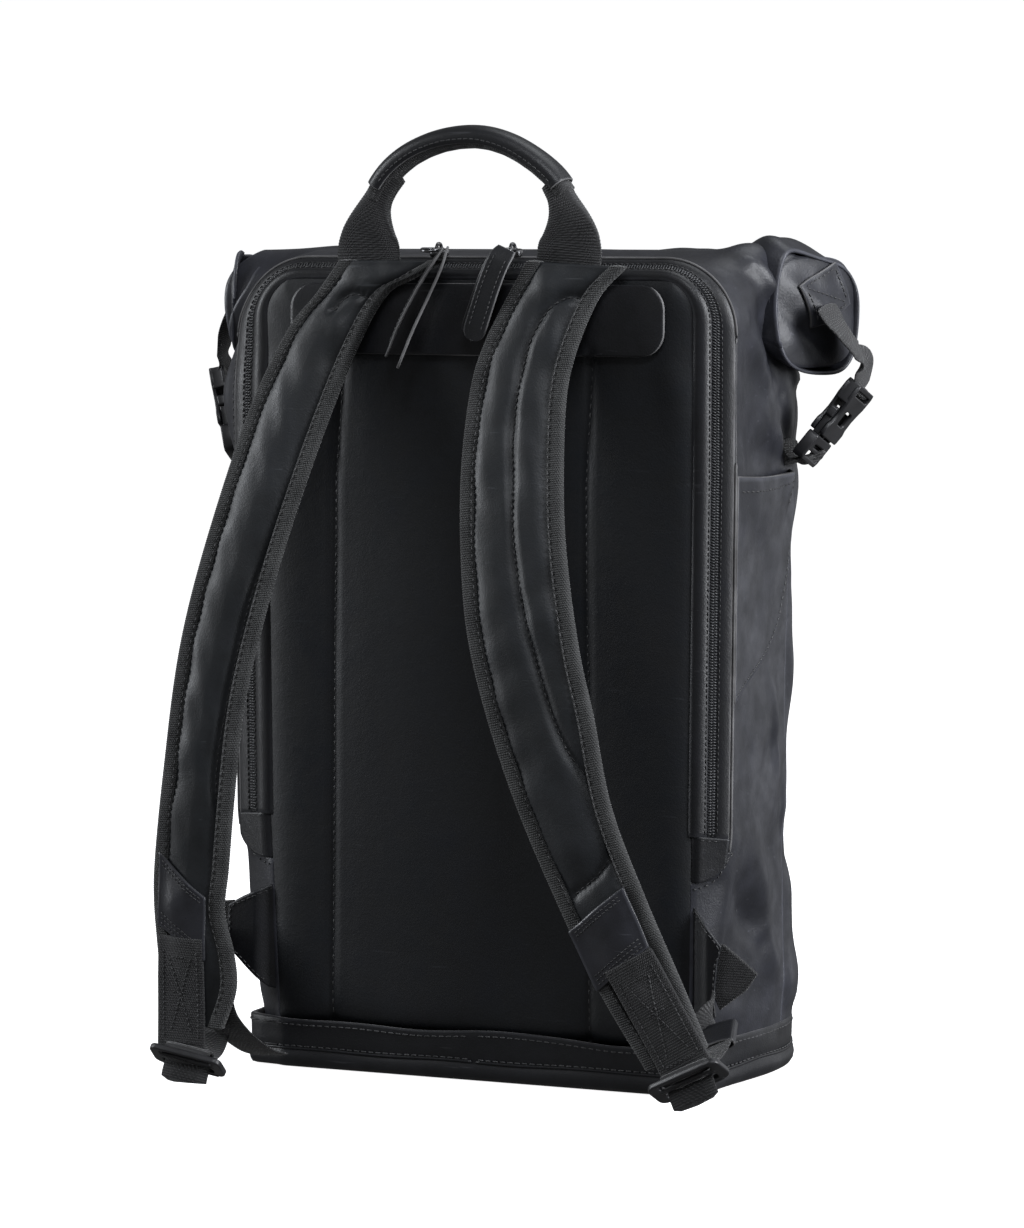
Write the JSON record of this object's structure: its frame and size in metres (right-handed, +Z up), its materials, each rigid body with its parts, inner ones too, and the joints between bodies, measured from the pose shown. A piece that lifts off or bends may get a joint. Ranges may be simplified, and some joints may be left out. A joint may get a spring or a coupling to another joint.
{
  "type": "leather roll-top backpack",
  "caption": "Roll-top leather backpack with padded shoulder straps, a zipped laptop compartment in the back and side-release buckles at the roll",
  "frame": {"origin": "centre of the underside of the base, on the surface the bag stands on", "axes": "+Z up along the height, -Y towards the wearer's back, +X to the right when looking at the side with the straps"},
  "size_m": [0.417, 0.2143, 0.5265],
  "materials": {
    "shell_leather": "waxed smooth, dark blue-black",
    "edge_leather": "waxed smooth, double stitched",
    "strap_leather": "waxed smooth, padded",
    "badge_leather": "glossy smooth",
    "webbing": "ribbed polyester webbing",
    "zip_tape": "coated zip tape",
    "lining": "plain woven lining over board",
    "foam": "closed-cell foam",
    "board": "stiff base board",
    "buckle_plastic": "moulded acetal",
    "zip_metal": "black nickel"
  },
  "bodies": {
    "bag": {"base_band": "edge_leather", "base_board": "board", "side_panel_left": "shell_leather", "side_panel_right": "shell_leather", "front_panel": "shell_leather", "divider_panel": "lining", "collar": "shell_leather", "roll_outer_wrap": "shell_leather", "roll_inner_wrap": "shell_leather", "mouth_hem": "webbing", "side_pocket_left": "shell_leather", "side_pocket_right": "shell_leather", "gusset_bag_side": "shell_leather", "laptop_wall": "shell_leather", "zip_tape_bag_side": "zip_tape", "gusset_lower": "shell_leather", "back_panel_lower": "shell_leather", "zip_end_patch_left": "edge_leather", "zip_end_patch_right": "edge_leather", "wing_left": "webbing", "wing_right": "webbing", "keeper_left": "edge_leather", "keeper_right": "edge_leather", "male_buckle_left": "buckle_plastic", "male_buckle_right": "buckle_plastic", "anchor_webbing_left": "webbing", "anchor_webbing_right": "webbing", "roll_webbing_left": "webbing", "roll_webbing_right": "webbing"},
    "laptop_door": {"back_panel": "shell_leather", "back_foam": "foam", "gusset_door_side": "shell_leather", "zip_tape_door_side": "zip_tape", "top_patch": "edge_leather"},
    "handle": {"handle_webbing": "webbing", "handle_grip": "edge_leather", "handle_core": "foam"},
    "strap_left": {"strap_left": "strap_leather", "strap_badge_left": "badge_leather", "strap_webbing_left": "webbing", "adjuster_webbing_left": "webbing"},
    "ladder_left": {"ladder_lock_left": "buckle_plastic"},
    "slider_left": {"zip_slider_left": "zip_metal"},
    "pull_left": {"pull_ring_left": "zip_metal", "pull_tab_left": "edge_leather"},
    "buckle_left": {"female_buckle_left": "buckle_plastic", "buckle_webbing_left": "webbing"},
    "strap_right": {"strap_right": "strap_leather", "strap_badge_right": "badge_leather", "strap_webbing_right": "webbing", "adjuster_webbing_right": "webbing"},
    "ladder_right": {"ladder_lock_right": "buckle_plastic"},
    "slider_right": {"zip_slider_right": "zip_metal"},
    "pull_right": {"pull_ring_right": "zip_metal", "pull_tab_right": "edge_leather"},
    "buckle_right": {"female_buckle_right": "buckle_plastic", "buckle_webbing_right": "webbing"}
  },
  "joints": [
    {"name": "laptop_door_lean", "type": "hinge", "parent": "bag", "child": "laptop_door", "pos_m": [0, -0.07, 0.142], "axis": [1, 0, 0], "range_deg": [0, 12]},
    {"name": "handle_swing", "type": "hinge", "parent": "laptop_door", "child": "handle", "pos_m": [0, -0.0705, 0.45], "axis": [1, 0, 0], "range_deg": [-50, 50]},
    {"name": "strap_left_swing", "type": "hinge", "parent": "laptop_door", "child": "strap_left", "pos_m": [0, -0.072, 0.446], "axis": [-1, 0, 0], "range_deg": [0, 12]},
    {"name": "ladder_left_tilt", "type": "hinge", "parent": "strap_left", "child": "ladder_left", "pos_m": [-0.15544, -0.135, 0.02219], "axis": [-0.9962, 0, 0.0872], "range_deg": [0, 50]},
    {"name": "slider_left_run", "type": "slide", "parent": "laptop_door", "child": "slider_left", "axis": [1, 0, 0], "range_m": [-0.004, 0.012]},
    {"name": "pull_left_flip", "type": "hinge", "parent": "slider_left", "child": "pull_left", "pos_m": [-0.026, -0.067, 0.458], "axis": [-0.891, 0, 0.454], "range_deg": [0, 45]},
    {"name": "buckle_left_release", "type": "slide", "parent": "bag", "child": "buckle_left", "axis": [-0.3002, 0.2501, 0.9205], "range_m": [0, 0.026]},
    {"name": "strap_right_swing", "type": "hinge", "parent": "laptop_door", "child": "strap_right", "pos_m": [0, -0.072, 0.446], "axis": [-1, 0, 0], "range_deg": [0, 12]},
    {"name": "ladder_right_tilt", "type": "hinge", "parent": "strap_right", "child": "ladder_right", "pos_m": [0.13757, -0.135, 0.0335], "axis": [-0.8829, 0, -0.4695], "range_deg": [0, 50]},
    {"name": "slider_right_run", "type": "slide", "parent": "laptop_door", "child": "slider_right", "axis": [1, 0, 0], "range_m": [-0.012, 0.004]},
    {"name": "pull_right_flip", "type": "hinge", "parent": "slider_right", "child": "pull_right", "pos_m": [0.018, -0.067, 0.458], "axis": [-0.9511, 0, 0.309], "range_deg": [0, 45]},
    {"name": "buckle_right_release", "type": "slide", "parent": "bag", "child": "buckle_right", "axis": [0.6047, 0.2519, 0.7556], "range_m": [0, 0.026]}
  ]
}
